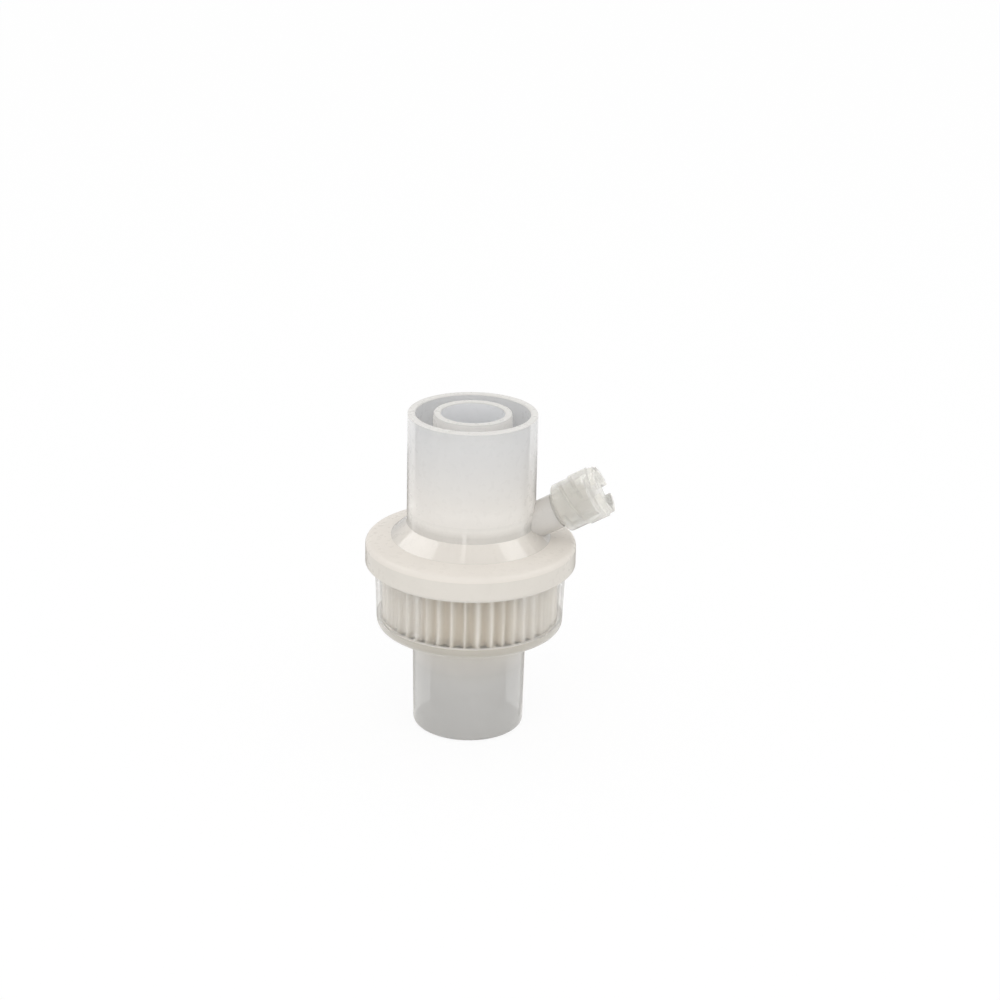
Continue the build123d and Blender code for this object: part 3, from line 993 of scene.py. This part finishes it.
def add_flags():
    """Two dark wedges on the floor behind the object, which only its gloss shows, as dark outlines."""
    black = bpy.data.materials.new("flag_black")
    shader = shader_of(black)[1]
    shader.inputs["Base Color"].default_value = (FLAG_TONE, FLAG_TONE, FLAG_TONE, 1)
    shader.inputs["Specular IOR Level"].default_value = 0.0
    for name, side, towards in FLAGS:
        start = side * FLAG_START
        corners = [(start, 0, 0)]
        for angle in towards:
            turn = math.radians(angle)
            corners.append((start + FLAG_REACH * math.sin(turn), FLAG_REACH * math.cos(turn), 0))
        mesh = bpy.data.meshes.new(name)
        mesh.from_pydata(corners, [], [(0, 1, 2)])
        flag = bpy.data.objects.new(name, mesh)
        flag.location.z = FLAG_HEIGHT
        flag.data.materials.append(black)
        flag.visible_camera = False
        flag.visible_diffuse = False
        flag.visible_shadow = False
        bpy.context.collection.objects.link(flag)


def upper_part(centre, normal):
    """The name of the part of the upper housing that a face belongs to."""
    radial = Vector((centre.x, centre.y, 0))
    radius = radial.length
    if centre.z > TOP_Z - RIM_ROUND - RIM_TOLERANCE:
        return "rim"
    from_port = (centre - PORT_ORIGIN).cross(PORT_AXIS).length
    if radius > TUBE_RADIUS + RIM_TOLERANCE and from_port < LUG_RADIUS + PART_TOLERANCE:
        return "port"
    if centre.z > TOP_Z - SOCKET_DEPTH - PART_TOLERANCE:
        if radius > TUBE_RADIUS - PART_TOLERANCE:
            return "skin"
        if radius < UPPER_PASSAGE + PART_TOLERANCE:
            return "bore"
        # Faces in the gap between the tubes take painted shade
        return "inside" if radius > MALE_15 + INNER_TUBE_WALL else "inner"
    # Faces that look down and inwards, under the roof, take painted light
    if normal.dot(radial / radius + Vector((0, 0, 1))) <= 0:
        return "dome"
    if centre.z > CONE_TOP_Z:
        return "foot"
    if centre.z > SHOULDER_Z:
        return "cone"
    return "shoulder" if centre.z > SKIRT_TOP_Z - SKIRT_ROUND else "skirt"


def lower_part(centre, normal):
    """The name of the part of the lower housing that a face belongs to."""
    radial = Vector((centre.x, centre.y, 0))
    radius = radial.length
    if centre.z > ROLL_LOW.z + WALL_RISE:
        return "bead" if radius > CUP_TOP_RADIUS + PART_TOLERANCE else "wall"
    outward = normal.dot(radial / radius + Vector((0, 0, 1))) > 0
    over_floor = centre.z > CUP_FLOOR_Z + CUP_FLOOR - PART_TOLERANCE
    # The floor inside the cup takes painted light
    if over_floor and radius < CUP_BOTTOM_RADIUS - CUP_WALL / 2:
        return "floor"
    # The cup's lower corner takes painted shade
    if centre.z > CUP_FLOOR_Z - PART_TOLERANCE and radius > TIP_RADIUS + CORNER_REACH:
        return "corner"
    # Faces inside the lower socket take painted shade near its foot
    return "tube" if outward or centre.z > SOCKET_15_DEPTH else "socket"


def paint(piece, materials, part_of):
    """Gives every face the material of the part that it belongs to."""
    piece.data.materials.clear()
    names = list(materials)
    for name in names:
        piece.data.materials.append(materials[name])
    for face in piece.data.polygons:
        face.material_index = names.index(part_of(face.center / MM, face.normal))


def place_piece(piece, body, node, material=None):
    """Lets a piece ride on its body and stand for a CAD node, in one material if that is given."""
    if material is not None:
        piece.data.materials.clear()
        piece.data.materials.append(material)
    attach(piece, body)
    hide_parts(node)


def main():
    """Makes the materials, the pieces, the camera, the lamps and the stage."""
    upper_plastic = {
        "rim": plastic("milky_rim", (0.74, 0.725, 0.695), 0.95, gloss=0.0),
        "skin": plastic(
            "milky_skin",
            (0.92, 0.885, 0.835),
            0.8,
            gloss=0.4,
            fade=(50, 62, (0.93, 0.925, 0.915)),
            veil=(48, 64, 0.45),
        ),
        # Faces inside the gap between the tubes: a greyer, darker copy of the milky plastic, painted shade
        # in the gap
        "inside": plastic("milky_inside_painted_shade", (0.58, 0.585, 0.595), 0.65),
        "bore": plastic("milky_bore", (0.93, 0.935, 0.945), 0.9),
        "inner": plastic("milky_inner_tube", (0.86, 0.84, 0.81), 1.0, sheen=1.0),
        "foot": plastic("milky_foot", (0.88, 0.85, 0.80), 0.55, gloss=0.3, veil=(43.8, 45.2, 0.8)),
        "cone": plastic("milky_cone", (0.91, 0.86, 0.79), 0.65, gloss=1.0),
        "shoulder": plastic("milky_shoulder", (0.775, 0.73, 0.67), 1.0, gloss=0.0, shine=0.08),
        "port": plastic("milky_port", (0.68, 0.655, 0.62), 0.9, gloss=0.5),
        "skirt": plastic("milky_skirt", (0.71, 0.675, 0.62), 1.0, gloss=0.0, shine=0.08),
        # Underside of the roof: whiter than the skin, painted light in the shade under the dome
        "dome": plastic("milky_dome_painted_light", (1.0, 0.96, 0.90), 0.7),
    }
    rib = plastic("milky_rib", (1.0, 0.98, 0.95), 1.0, sheen=1.0)
    lower_plastic = {
        "wall": plastic(
            "clear_cup_wall",
            (0.97, 0.955, 0.93),
            0.4,
            transmission=0.9,
            roughness=0.08,
            gloss=0.4,
            sheen=1.0,
        ),
        # The cup's lower corner: a dull dark cream band, painted shade under the foot of the paper
        "corner": plastic(
            "cup_corner_painted_shade",
            (0.58, 0.545, 0.48),
            0.75,
            transmission=0.1,
            roughness=0.15,
            gloss=0.3,
            sheen=1.0,
        ),
        # The cup's floor: opaque and white, painted light in the shade under the paper
        "floor": plastic("cup_floor_painted_light", (1.0, 0.97, 0.92), 1.0),
        "tube": plastic(
            "hazy_lower_tube",
            (0.63, 0.62, 0.60),
            0.7,
            roughness=0.3,
            gloss=0.6,
            sheen=1.0,
            fade=(12, 20, (0.66, 0.625, 0.57)),
            veil=(14, 20, 1.0),
        ),
        # The lower socket: near black at its foot and paler upwards, painted shade inside the tube; the
        # tube is clearer low down so that it shows
        "socket": plastic(
            "hazy_socket_painted_shade",
            (0.15, 0.145, 0.14),
            0.95,
            roughness=0.3,
            sheen=1.0,
            fade=(5, 11, (0.75, 0.735, 0.71)),
        ),
        "bead": plastic("milky_bead", (0.74, 0.71, 0.665), 1.0),
    }
    cap_clear = plastic(
        "cap_plastic",
        (1.0, 0.985, 0.935),
        0.75,
        transmission=0.7,
        roughness=0.09,
        gloss=0.4,
        sheen=0.5,
    )
    paper = paper_material()
    felt = felt_material()

    upper = upper_housing()
    smooth(upper)
    paint(upper, upper_plastic, upper_part)
    place_piece(upper, "housing", "upper_housing")
    place_piece(dome_ribs(), "housing", "upper_housing", rib)
    lower = lower_housing()
    smooth(lower)
    paint(lower, lower_plastic, lower_part)
    place_piece(lower, "housing", "lower_housing")
    disc = felt_disc()
    smooth(disc)
    place_piece(disc, "housing", "filter_disc", felt)
    for piece in rolled_paper():
        place_piece(piece, "housing", "paper_roll", paper)
    cap = port_cap()
    smooth(cap)
    place_piece(cap, "cap", "port_cap", cap_clear)
    thread = cap_thread()
    smooth(thread, THREAD_SMOOTHING)
    place_piece(thread, "cap", "port_cap", cap_clear)

    add_camera()
    add_world()
    add_floor()
    add_flags()
    add_softbox("key_softbox", azimuth=2, elevation=52, distance=0.9, width=0.5, height=0.5, radiance=1.6)
    for name, azimuth, width in STRIPS:
        strip = add_softbox(
            name,
            azimuth,
            elevation=43,
            distance=0.6,
            width=width,
            height=0.34,
            radiance=3.0,
        )
        strip.visible_diffuse = False
        strip.visible_transmission = False
    bpy.context.scene.view_settings.view_transform = "Standard"


main()
